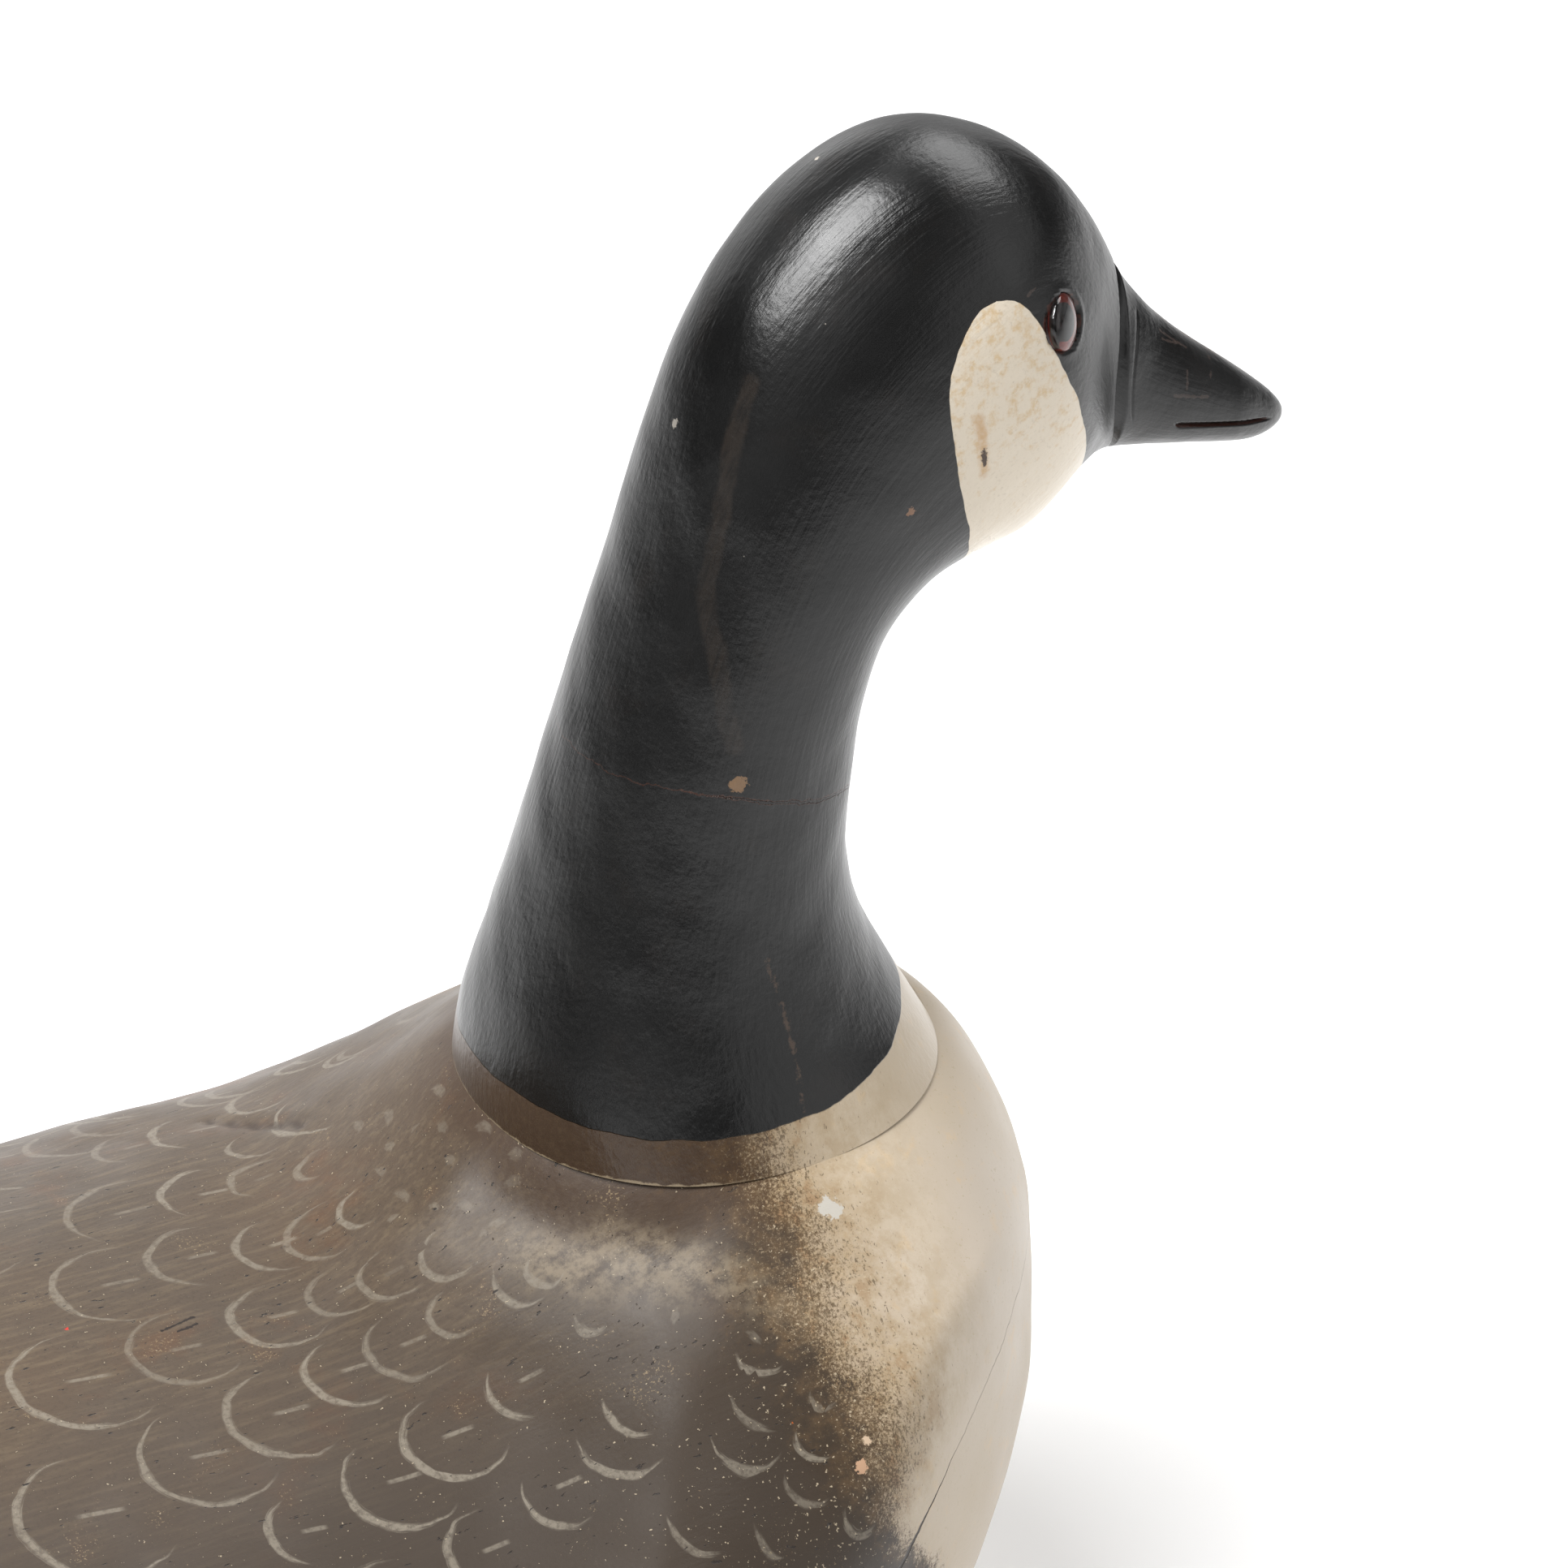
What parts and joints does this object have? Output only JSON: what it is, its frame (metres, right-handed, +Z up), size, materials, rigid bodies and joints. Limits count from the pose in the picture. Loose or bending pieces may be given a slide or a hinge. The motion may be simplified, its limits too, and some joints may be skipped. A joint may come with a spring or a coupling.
{
  "type": "goose decoy",
  "caption": "Carved and painted wooden goose decoy with an upright neck, inset glass eyes and a flat underside it stands on.",
  "frame": {"origin": "bottom centre of the bounding box: on the plane of the flat underside, half way between the tail's tip and the bill's tip", "axes": "+X the way the bill points, +Y the bird's left side, +Z up"},
  "size_m": [0.6764, 0.2356, 0.3297],
  "materials": {
    "body_paint": "weathered brown and cream oil paint on wood, satin",
    "black_paint": "black oil paint on wood with a cream cheek patch, satin",
    "eye_glass": "clear glass dome over a dark red-brown iris and a black pupil"
  },
  "bodies": {
    "root": {"body": "body_paint", "head_and_neck": "black_paint", "eye_right": "eye_glass", "eye_left": "eye_glass"}
  },
  "joints": []
}
